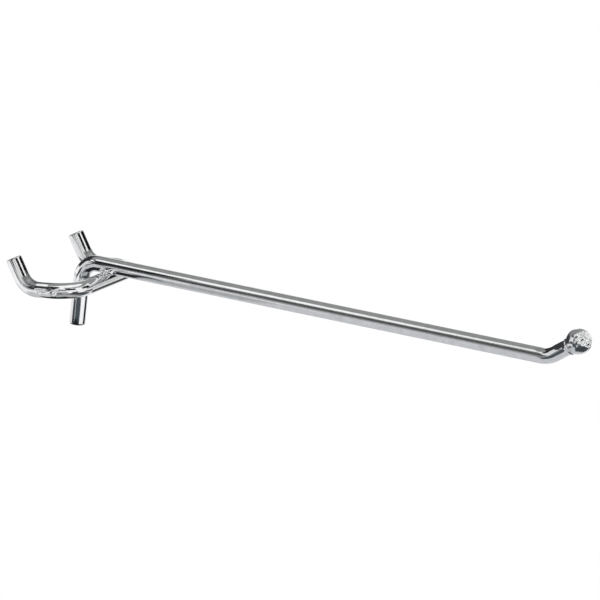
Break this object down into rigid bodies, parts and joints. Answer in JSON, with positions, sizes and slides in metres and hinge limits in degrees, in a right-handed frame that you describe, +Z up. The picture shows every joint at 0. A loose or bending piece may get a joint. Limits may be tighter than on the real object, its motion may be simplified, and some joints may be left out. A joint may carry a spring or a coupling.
{
  "type": "pegboard hook",
  "caption": "Long straight wire hook for a perforated board: ball-headed upturned tip, heel that rests on the board, and a welded wire staple whose bent prongs hook in behind the holes.",
  "frame": {"origin": "on the board's front face, midway between the two holes, where the centre plane of the mounting staple crosses that face", "axes": "+X out of the board along the arm, +Y along the board from one prong to the other, +Z up"},
  "size_m": [0.2126, 0.0566, 0.0352],
  "materials": {
    "arm_wire": "bright plated cold-drawn steel wire with fine drawing lines, mirror-like",
    "mounting_staple": "bright plated cold-drawn steel wire, mirror-like, with faint marks of the bending die"
  },
  "bodies": {
    "root": {"arm_wire": "arm_wire", "mounting_staple": "mounting_staple"}
  },
  "joints": []
}
